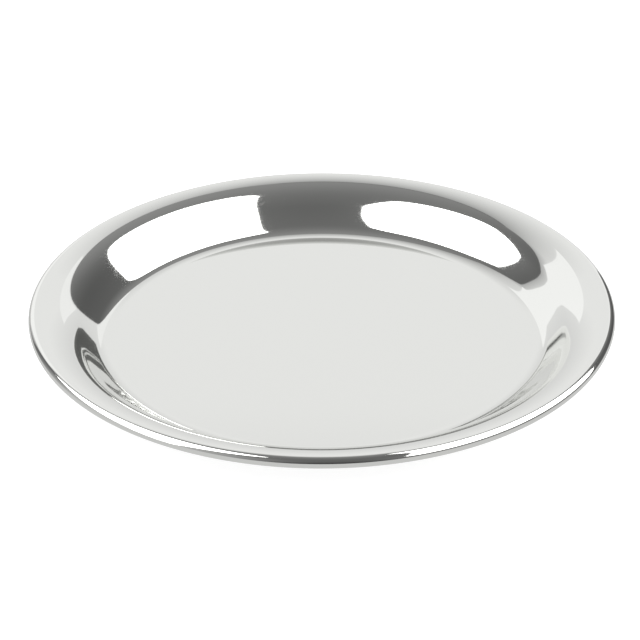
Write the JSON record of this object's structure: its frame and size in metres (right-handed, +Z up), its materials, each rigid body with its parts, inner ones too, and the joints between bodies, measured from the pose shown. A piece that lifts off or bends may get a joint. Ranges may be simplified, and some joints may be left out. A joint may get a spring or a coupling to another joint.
{
  "type": "serving tray",
  "caption": "Round polished steel serving tray with a flat base, a wide flared rim and a rolled edge, for carrying drinks, dishes and food.",
  "frame": {"origin": "centre of the underside of the flat base, on the surface that the tray stands on", "axes": "+Z up, along the axis that the tray is round about; +X and +Y are level, and any turn about Z gives the same tray"},
  "size_m": [0.355, 0.355, 0.0259],
  "materials": {
    "polished_steel": "mirror-polished stainless steel sheet, with faint polishing lines that run round the tray"
  },
  "bodies": {
    "root": {"tray_pressing": "polished_steel"}
  },
  "joints": []
}
